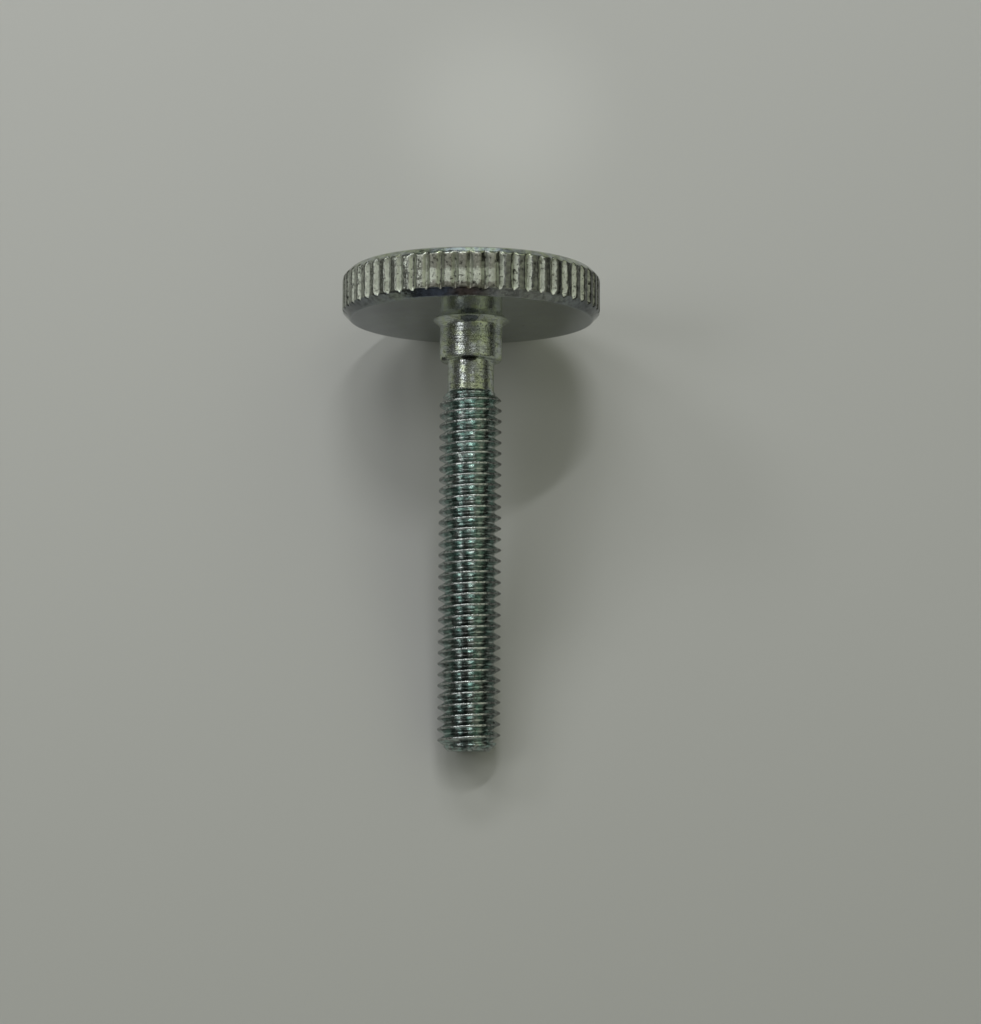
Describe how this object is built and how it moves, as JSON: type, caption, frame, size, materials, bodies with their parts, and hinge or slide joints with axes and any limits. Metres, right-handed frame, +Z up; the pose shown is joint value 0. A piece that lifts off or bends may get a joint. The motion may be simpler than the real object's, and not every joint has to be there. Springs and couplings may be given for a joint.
{
  "type": "thumb screw",
  "caption": "Flat thumb screw of zinc-plated steel: thin disc head with a straight-knurled rim, short plain collar, relieved neck and a long threaded shank with a chamfered tip.",
  "frame": {"origin": "on the surface that the screw lies on, under the middle of its outline", "axes": "+X runs along the screw from head to tip, level with the surface; +Z is up; the screw's own axis dips towards the tip by about 13 degrees"},
  "size_m": [0.0464, 0.024, 0.0241],
  "materials": {
    "zinc_plated_steel": "bright zinc plating with a clear, faintly greenish passivation over turned and rolled steel"
  },
  "bodies": {
    "root": {"thumb_screw": "zinc_plated_steel"}
  },
  "joints": []
}
